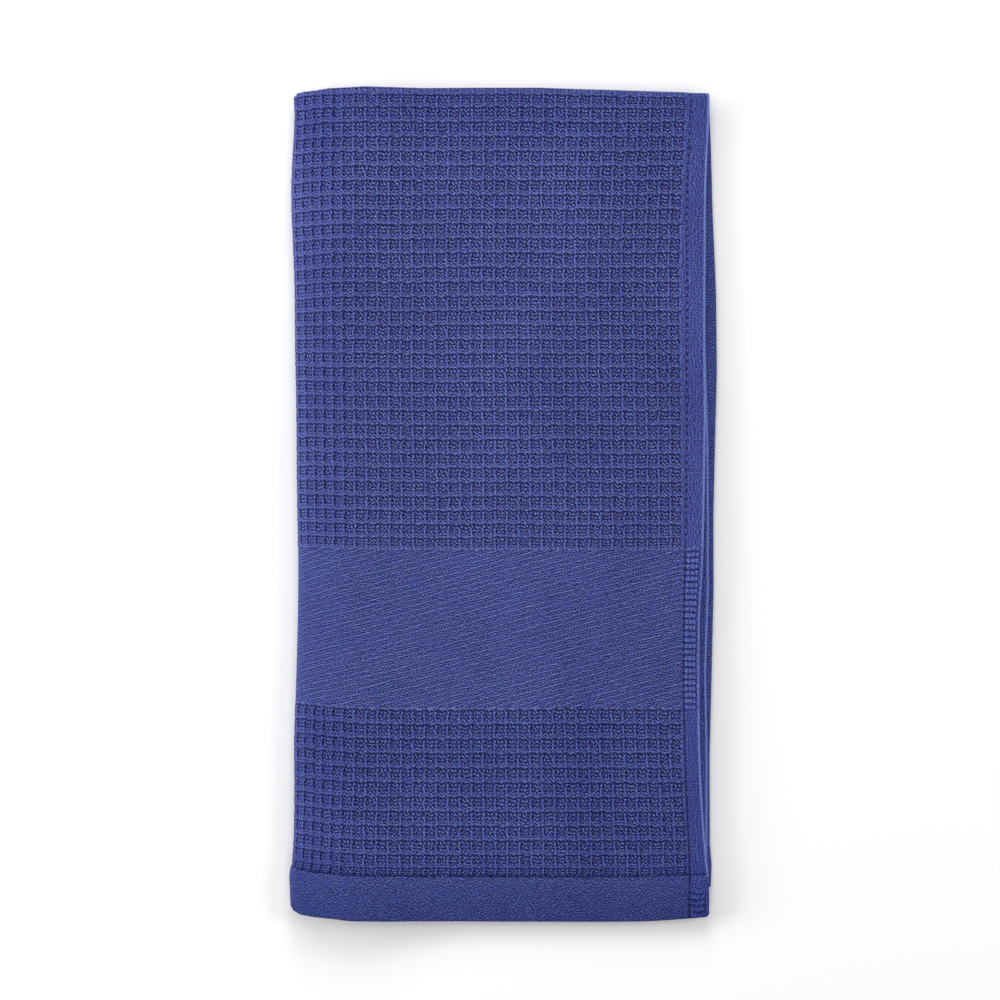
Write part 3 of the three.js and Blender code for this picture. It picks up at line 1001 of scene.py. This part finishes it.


# %% [markdown]
# ### Waffle weave
#
# The same cell as in the relief, drawn once more in tones: pale ridges, partly the floats' own
# colour and partly painted highlight, a broken line of painted shadow below each crosswise ridge,
# and a hole of painted shade on either side of the lengthwise ones. The floats in the hollow cross
# it in steps, so they are a lattice of waves that repeats in each cell, roughened by streaks and
# specks. Towards the fold the cloth turns away, and only the side of each lengthwise ridge that
# leans from the light keeps its painted shadow. Painted shade also darkens the dimples along the end
# hem's seam, and a strip where the cloth bends is made paler as painted light.

# %% Waffle material
# The ridges' ragged outlines, in hills a millimetre and in cells.
RAGGED_SCALE = 0.45
RAGGED = 0.05

# Columns over which the look of the flat gives way to that of the fold.
AT_FOLD = (27.0, 30.0)

# The broken lines of painted shadow: how many dark beads a cell has, their shift, and how much they
# stray. The dimples are the painted shade along the end hem's seam.
BEADS_ALONG, BEADS_ALONG_SHIFT, BEADS_ALONG_STRAY = 4, 0.2, 0.25
BEADS_ACROSS, BEADS_ACROSS_STRAY = 3, 0.3
DIMPLE_PITCH = 4.6
DIMPLE_STRAY = 1.5
DIMPLE_SHADE = 0.8

# The streaks' own two directions are the cloth's, turned by 45 degrees, so each is a sum or a
# difference times half the root of two.
HALF_ROOT = 0.7071
STREAK_PITCH = 1.6
STREAK_SHARE = 1.1
SPECK_SIZE = 1.2
SPECK_SHARE = 0.4

# How strong each part is on the flat and at the fold, as tones. The ridges' paleness is partly the
# floats' own colour and partly painted highlight; the holes and the lines below are painted shade.
RIDGE_TONE = (0.34, 0.24)
HOLE_SHADE = (0.42, 0.52)
FLOAT_TONE = (0.86, 0.7)
SHADOW_BELOW_SHARE = (1.0, 0.6)

# What is left of the floats on a ridge, the level tone, and painted light where the cloth bends.
RIDGE_CALM = 0.1
HOLLOW_TONE = 0.475
BEND_COLUMNS = (32.0, 33.5)
BEND_PAINTED_LIGHT = 0.05

# The lattice of floats: how ragged it is along, and its waves, each as a number across and along
# in each cell, a shift, and a strength.
FLOAT_RAGGED = 0.04
LATTICE = [(0, 4, 0.2, 0.28), (-3, 3, 0, 0.2), (-3, 4, 0, 0.19), (3, 4, 0, 0.12), (2, 3, 0, 0.11)]


def waffle_material():
    """Waffle weave: a level tone, plus ridges, minus the holes' painted shade, plus the lattice of floats.

    across is 0 on a lengthwise ridge and 1 in a cell's middle, and along runs from 0 to 1 between
    two crosswise ridges. Both are a little ragged, and each part is a curve over one of them.
    """
    material, column, row = new_cloth("waffle weave")
    across_mm, along_mm = column * CELL_WIDTH, row * CELL_HEIGHT
    ragged = noise(across_mm, along_mm, RAGGED_SCALE, seed=1.0)
    ragged_too = noise(across_mm, along_mm, RAGGED_SCALE, seed=3.0)
    across = (column + ragged * RAGGED).math("PINGPONG", 0.5) * 2
    along = (row + ragged_too * RAGGED).math("FRACT")
    gate = along.steps((0, 1), (0.1, 0.9), (0.3, 1), (0.74, 0.9), (0.84, 0.35), (0.9, 0.5), (1, 1))
    lengthwise = across.steps((0, 1), (0.06, 0.9), (0.13, 0.35), (0.2, 0), (1, 0)) * gate
    crosswise = along.steps((0, 1), (0.05, 0.85), (0.1, 0), (0.925, 0), (0.955, 0.95), (1, 1))
    ridges = lengthwise.over(crosswise)

    beads_along = wave(row * BEADS_ALONG + BEADS_ALONG_SHIFT + ragged * BEADS_ALONG_STRAY)
    beads_along = beads_along * 0.5 + 0.5
    beads_across = wave(column * BEADS_ACROSS + ragged_too * BEADS_ACROSS_STRAY) * 0.5 + 0.5
    # Painted shade: holes beside lengthwise ridges, a painted shadow below crosswise ones, in beads.
    beside = across.steps((0, 0), (0.14, 0), (0.28, 1), (0.42, 0.8), (0.56, 0), (1, 0))
    shadow_below = along.steps((0, 0), (0.8, 0), (0.86, 0.8), (0.9, 0.7), (0.94, 0), (1, 0))
    at_fold = column.fade(*AT_FOLD)
    tall = along.steps((0, 0), (0.12, 0.2), (0.3, 1), (0.72, 1), (0.86, 0.2), (1, 0))
    pit_shade = (tall * (beads_along * 0.6 + 0.4) - beads_along) * at_fold + beads_along
    # At the fold the painted shadow falls only on the lee side of each ridge, away from the left light.
    lee_shadow = (column + ragged * RAGGED).math("FRACT")
    lee_shadow = lee_shadow.steps((0, 0), (0.7, 0), (0.77, 1), (0.86, 1), (0.92, 0), (1, 0))
    beside = (lee_shadow - beside) * at_fold + beside
    hole_shade = (beside * pit_shade).over(shadow_below * beads_across * at_fold.between(*SHADOW_BELOW_SHARE))

    u, v = column + ragged * RAGGED, row + ragged_too * FLOAT_RAGGED
    slant = (across_mm - along_mm) * HALF_ROOT
    slope = (across_mm + along_mm) * HALF_ROOT
    streaks = ripples(slant, slope, STREAK_PITCH, order=0.4)
    specks = knots(across_mm, along_mm, SPECK_SIZE, SPECK_SIZE, seed=2.0, disorder=1.0)
    floats = streaks * STREAK_SHARE + specks * SPECK_SHARE
    for waves_across, waves_along, shift, strength in LATTICE:
        floats = floats + wave(u * waves_across + v * waves_along + shift) * strength

    # Painted shade in the dimples along the end hem's seam.
    near_seam = row.fade(0.34, 0.12) * row.fade(-0.02, 0.03)
    dimple_shade = wave(across_mm * (1 / DIMPLE_PITCH) + ragged * DIMPLE_STRAY) * 0.5 + 0.5
    # The ridges' pale floats carry a painted highlight, and the holes' painted shade is taken away.
    tone = ridges * at_fold.between(*RIDGE_TONE) - hole_shade * at_fold.between(*HOLE_SHADE)
    tone = tone + ridges.between(1, RIDGE_CALM) * floats * at_fold.between(*FLOAT_TONE)
    tone = tone - near_seam * dimple_shade * DIMPLE_SHADE + column.fade(*BEND_COLUMNS) * BEND_PAINTED_LIGHT + HOLLOW_TONE
    return finish_cloth(material, tone, column, row, WAFFLE_TINT)


# %% [markdown]
# ### Twill band and hems
#
# The band is a fine twill, whose lines rise gently to the right. The hems are the same cotton in a
# dense plain weave. Where the side hem crosses the band and the end hem, the doubled cloth shows as
# a ladder of small ribs. The side hem's seam is a row of pits in painted shade, deepest below the
# band, and its fold edge and the ridge beside the seam carry a painted highlight.

# %% Band material
TWILL_ANGLE = np.radians(15)
TWILL_PITCH = 1.55
LINE_STRAY = 0.35
LINE_DEPTH, PAIR_DEPTH = 0.2, 0.1
STRENGTH_SPREAD = 1.4
DASH_LENGTH = 1.4
FUZZ_PITCH = 1.4
BREAK_SHARE, DASH_SHARE, FUZZ_SHARE = 0.5, 0.4, 0.75
BAND_TONE = 0.56


def band_material():
    """Fine twill: lines at an angle that stray and fade, broken by dashes of yarn and by fuzz.

    rung counts millimetres across the lines and run along them, which is a turn of the cloth's own
    two directions. Every second line is a little stronger.
    """
    material, column, row = new_cloth("twill band")
    across, along = column * CELL_WIDTH, row * CELL_HEIGHT
    rung = across * np.sin(TWILL_ANGLE) + along * np.cos(TWILL_ANGLE)
    run = along * np.sin(TWILL_ANGLE) - across * np.cos(TWILL_ANGLE)
    place = rung * (1 / TWILL_PITCH) + noise(run * 0.25, rung, 0.25) * LINE_STRAY
    lines = wave(place) * LINE_DEPTH + wave(place * 0.5) * PAIR_DEPTH
    strength = noise(run, rung, 0.3, seed=4.0) * STRENGTH_SPREAD + 1
    breaks = ripples(run, rung, TWILL_PITCH, angle=np.pi / 2, order=0.6)
    dashes = knots(run, rung, DASH_LENGTH, TWILL_PITCH / 2, seed=3.0, disorder=0.9)
    fuzz = ripples(across, along, FUZZ_PITCH)
    tone = lines * strength + breaks * BREAK_SHARE + dashes * DASH_SHARE + fuzz * FUZZ_SHARE + BAND_TONE
    return finish_cloth(material, tone, column, row, BAND_TINT)


# %% Hem material
RUNG_ROWS = 0.4226
THREAD_PITCH = 1.8

# Depths of tone: the yarn's specks and threads, the fine grid on the side hem, the painted highlight
# on the edge and the ridge, the sag and depth of the corner's rungs, the ladder's rungs and ribs, and
# the painted shade of the seams.
HEM_SPECKS, HEM_THREADS = 0.75, 0.42
GRID_DEPTHS = (0.13, 0.05)
EDGE_HIGHLIGHT, RIDGE_HIGHLIGHT = 0.6, 0.18
CORNER_SAG, CORNER_DEPTH = 0.45, 0.32
LADDER_DEPTHS = (0.42, 0.5)
PIT_SHADE, PIT_LIMIT = 0.45, 0.4
LOW_SEAM_SHADE, END_SEAM_SHADE = 0.3, 0.25
HEM_TONE = (0.55, 0.59)

# One stitch of the side seam, which the painted shade of the pits and the sewing share.
SIDE_STITCH = 4.4
SIDE_STITCH_ROWS = SIDE_STITCH / CELL_HEIGHT
FIRST_STITCH_ROW = 0.25 - HEM_ROWS


def hem_material():
    """Plain hem: specks and threads, and on the side hem a ladder of ribs and pits in painted shade.

    on_side is 1 on the side hem, where place runs from 0 at the waffle to 1 at the free edge. The
    ladder is a wave of rungs times a curve across the hem, on the band's rows only, and at the
    corner the rungs sag.
    """
    material, column, row = new_cloth("plain hem")
    across, along = column * CELL_WIDTH, row * CELL_HEIGHT
    stray = noise(across, along, 0.3, seed=5.0)
    specks = ripples(across * 0.85, along, 1.5, angle=np.pi / 2, order=0.3)
    threads = knots(across, along, 1.3, 0.8, seed=1.0)
    plain = specks * HEM_SPECKS + threads * HEM_THREADS

    on_side = column.fade(0.0, -0.1)
    place = column * (1 / HEM_EDGE)
    lengthwise = wave(across * (1 / THREAD_PITCH) + stray * 0.8)
    crosswise = wave(along * (1 / THREAD_PITCH) + stray * 0.8)
    grid = lengthwise * GRID_DEPTHS[0] + crosswise * GRID_DEPTHS[1]
    plain = plain * on_side.between(1, 0.5) + grid * on_side
    edge = place.steps((0, 0), (0.965, 0), (0.985, 1), (1, 1))
    ridge = place.steps((0, 1), (0.03, 0.8), (0.08, 0), (1, 0)) * on_side

    on_band = row.fade(BAND_LOW - 0.3, BAND_LOW) * row.fade(BAND_HIGH + 0.3, BAND_HIGH) * on_side
    on_corner = row.fade(-0.9, -1.1) * on_side
    sag = place.steps((0, 0), (0.25, 0), (0.5, 0.9), (0.7, 1), (1, 0.2)) * on_corner * CORNER_SAG
    rung = (row * (1 / RUNG_ROWS) + sag + stray * 0.12).math("FRACT")
    rung = rung.steps((0, 0), (0.1, 0), (0.26, 0.8), (0.55, 1), (0.84, 0.8), (0.98, 0), (1, 0))
    ribs = place.steps(
        (0, 0), (0.08, 0.5), (0.14, 0.8), (0.2, 0.3), (0.28, 0), (0.34, 0.6), (0.42, 1), (0.5, 0.4),
        (0.54, 0.4), (0.62, 1), (0.68, 0.4), (0.72, 0.4), (0.8, 1), (0.88, 0.2), (1, 0),
    )
    span = place.steps((0, 0), (0.02, 0), (0.06, 0.9), (0.3, 1), (0.86, 1), (0.92, 0), (1, 0))
    ladder = (rung - 0.8) * span * LADDER_DEPTHS[0] + rung * (ribs - 0.45) * LADDER_DEPTHS[1]
    # Painted shade of the seams: a pit at each stitch, a line below the band, and the end hem's seam.
    on_seam = place.steps((0, 0), (0.2, 0), (0.25, 1), (0.28, 1), (0.33, 0), (1, 0)) * on_side
    pit_shade = wave((row - FIRST_STITCH_ROW) * (1 / SIDE_STITCH_ROWS)) * 0.5 + 0.5
    end_seam = row.fade(-0.08, 0.0) * row.fade(0.16, 0.06) * on_side
    pit_shade = (pit_shade * pit_shade * PIT_SHADE).math("MINIMUM", PIT_LIMIT)
    low = row.fade(BAND_LOW + 2, BAND_LOW - 2) * LOW_SEAM_SHADE
    seam_shade = on_seam * (pit_shade + low) + end_seam * END_SEAM_SHADE

    # Painted highlight on the hem's fold edge and on the ridge beside its seam.
    painted_highlight = (edge * EDGE_HIGHLIGHT + ridge * RIDGE_HIGHLIGHT) * row.fade(-0.3, 0)
    corner = (rung - 0.75) * span * on_corner * CORNER_DEPTH
    tone = plain + ladder * on_band + corner + painted_highlight - seam_shade + on_side.between(*HEM_TONE)
    return finish_cloth(material, tone, column, row, HEM_TINT)


# %% Dressing the zones
WAFFLE, BAND, HEM = range(3)
for material in (waffle_material(), band_material(), hem_material()):
    towel.data.materials.append(material)

face_middles = np.array([point_places[face].mean(axis=0) for face in faces])
face_columns = np.minimum(face_middles[:, 0], LAST_COLUMN + HEM_EDGE - face_middles[:, 0])
face_rows = np.minimum(face_middles[:, 1], LAST_ROW - HEM_ROWS - face_middles[:, 1])
zones = np.full(len(faces), WAFFLE, dtype=np.int32)
zones[(face_rows > BAND_LOW) & (face_rows < BAND_HIGH - BAND_LIP)] = BAND
zones[(face_columns < 0) | (face_rows < 0)] = HEM
towel.data.polygons.foreach_set("material_index", zones)
print("faces of waffle, band and hem:", np.bincount(zones).tolist())

# %% [markdown]
# ## The sewing
#
# A sewing machine leaves a row of short stitches that sink into the cloth at both ends. Each is a
# small six-sided bead of thread, laid along the seam by the same formula as the cloth itself, so
# it follows every bend. The side hem and the end hem have one row each on the layer that shows.

# %% Stitches
THREAD_RADIUS = 0.34
THREAD_STANDS = 0.4
STITCH_SHARE = 0.45
END_STITCH = 3.6
SEAM_MARGIN = 0.2
STATIONS = np.array([-1, -0.75, -0.3, 0.3, 0.75, 1.0])
THICKNESS = np.array([0.35, 0.85, 1, 1, 0.85, 0.35])
DIVE = np.array([0.55, 0.25, 0, 0, 0.25, 0.55])
AROUND = np.radians(np.arange(0, 360, 60))


def stitches(column, row, way):
    """Points and faces of stitches centred at columns and rows, where way is half a stitch in cells.

    At each station along a stitch there is a ring: the middle of the thread on the cloth, plus the
    radius times the cosine of the angle along the cloth's normal and its sine along the cross
    product of the normal and the stitch's direction.
    """
    at = np.stack([column, row])[..., None] + np.asarray(way)[:, None, None] * STATIONS
    stray = wandering(column[:, None], row[:, None])
    height = LAYER / 2 + relief(column, row)[:, None] + THREAD_RADIUS * THREAD_STANDS - DIVE
    middle, normal = cloth_point(at[0] + stray[0], at[1] + stray[1], height)
    along = middle[:, -1:] - middle[:, :1]
    beside = np.cross(normal, along / np.linalg.norm(along, axis=-1, keepdims=True))
    radius = (THREAD_RADIUS * THICKNESS)[:, None, None]
    upwards = normal[:, :, None] * np.cos(AROUND)[:, None] * radius
    rings = middle[:, :, None] + upwards + beside[:, :, None] * np.sin(AROUND)[:, None] * radius
    count, stations, sides = rings.shape[:3]
    index = np.arange(rings.size // 3).reshape(count, stations, sides)
    turned = np.roll(index, -1, axis=2)
    walls = np.stack([index[:, :-1], turned[:, :-1], turned[:, 1:], index[:, 1:]], axis=-1)
    ends = [*index[:, 0, ::-1].tolist(), *index[:, -1].tolist()]
    return rings.reshape(-1, 3), [*walls.reshape(-1, 4).tolist(), *ends]


side_rows = np.arange(FIRST_STITCH_ROW, FOLD_ROW - SEAM_MARGIN, SIDE_STITCH_ROWS)
end_columns = np.arange(HEM_EDGE + SEAM_MARGIN, LOWER_COLUMNS, END_STITCH / CELL_WIDTH)
side_way = (0, STITCH_SHARE / 2 * SIDE_STITCH_ROWS)
end_way = (END_STITCH * STITCH_SHARE / 2 / CELL_WIDTH, 0)
side_seam = stitches(np.full_like(side_rows, SEAM_COLUMN), side_rows, side_way)
end_seam = stitches(end_columns, np.full_like(end_columns, SEAM_GROOVE), end_way)
shifted = [[corner + len(side_seam[0]) for corner in face] for face in end_seam[1]]
seam_points = np.concatenate([side_seam[0], end_seam[0]])
thread = make_mesh("seam_thread", seam_points, [*side_seam[1], *shifted])
print(len(side_rows), "stitches along the side hem and", len(end_columns), "along the end hem")

# %% Thread material
TWIST_PITCH = 0.5
THREAD_SHADES = [(*from_screen(24, 14, 46), 1), (*from_screen(44, 32, 80), 1)]

cotton_thread = bpy.data.materials.new("sewing thread")
shader = set_finish(cotton_thread, {"Roughness": 0.7, "Specular IOR Level": 0.3})
tree = cotton_thread.node_tree
source = tree.nodes.new("ShaderNodeTexCoord")
parts = tree.nodes.new("ShaderNodeSeparateXYZ")
tree.links.new(source.outputs["Object"], parts.inputs[0])
x, y = (Wire(tree, parts.outputs[k]) * (1 / MM) for k in range(2))
twist = wave((x + y) * (1 / TWIST_PITCH)) * 0.3 + 0.5
inputs = {"Factor": twist, 6: THREAD_SHADES[0], 7: THREAD_SHADES[1]}
shade = twist.node("Mix", inputs, 2, data_type="RGBA")
tree.links.new(shade.socket, shader.inputs["Base Color"])
thread.data.materials.append(cotton_thread)
print(thread.name, "has", len(thread.data.polygons), "faces")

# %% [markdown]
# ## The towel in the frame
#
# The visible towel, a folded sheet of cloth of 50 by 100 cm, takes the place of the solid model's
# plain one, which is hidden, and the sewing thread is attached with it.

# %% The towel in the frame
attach(towel, "root")
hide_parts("towel")
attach(thread, "root")

# %% [markdown]
# ## Floor and light
#
# The towel lies on a white surface in a small studio. Six soft panels stand round it, because light
# that skims the cloth shows its relief best. The strongest come from the left, so the fold glows a
# little, and from beyond the upper end, so the crosswise ridges shade their lower sides and a soft
# shadow falls below the end hem. An even white surrounding fills the rest.

# %% Floor
FLOOR_SIDE = 6.0
WHITE = (0.9, 0.9, 0.9, 1)

floor_corners = np.array([[-1, -1, 0], [1, -1, 0], [1, 1, 0], [-1, 1, 0]]) * FLOOR_SIDE / 2
floor = make_mesh("floor", floor_corners / MM, [(0, 1, 2, 3)])
paper = bpy.data.materials.new("white ground")
set_finish(paper, {"Base Color": WHITE, "Roughness": 1.0, "Specular IOR Level": 0.0})
floor.data.materials.append(paper)
print("floor", FLOOR_SIDE, "m wide")


# %% Lights
def soft_light(name, place, aim, size, power):
    """A rectangular lamp at a place that looks at another, hidden from the camera."""
    data = bpy.data.lights.new(name, "AREA")
    data.shape = "RECTANGLE"
    data.size, data.size_y = size
    data.energy = power
    lamp = bpy.data.objects.new(name, data)
    lamp.location = place
    direction = mathutils.Vector(aim) - lamp.location
    lamp.rotation_mode = "QUATERNION"
    lamp.rotation_quaternion = direction.to_track_quat("-Z", "Y")
    lamp.visible_camera = False
    bpy.context.scene.collection.objects.link(lamp)


# Each panel's direction as degrees round from +Y, its height in degrees, and its watts.
PANEL_AWAY = 1.6
PANEL_SIZE = (0.8, 0.6)
PANELS = {
    "north low": (0, 25, 11.0),
    "north high": (0, 40, 5.2),
    "west": (-90, 20, 18.4),
    "north west": (-45, 30, 6.4),
    "east": (90, 35, 9.3),
    "south": (180, 40, 5.9),
}
for name, (round_from_y, up, power) in PANELS.items():
    turn, lift = np.radians(round_from_y), np.radians(up)
    way = np.array([np.cos(lift) * np.sin(turn), np.cos(lift) * np.cos(turn), np.sin(lift)])
    soft_light(name + " panel", PANEL_AWAY * way, (0, 0, 0), PANEL_SIZE, power)

SURROUNDINGS = 0.21
world = bpy.data.worlds.new("studio")
world.use_nodes = True
world.node_tree.nodes["Background"].inputs["Color"].default_value = (1, 1, 1, 1)
world.node_tree.nodes["Background"].inputs["Strength"].default_value = SURROUNDINGS
bpy.context.scene.world = world
bpy.context.scene.view_settings.view_transform = "Standard"
print(len(PANELS), "panels of light")
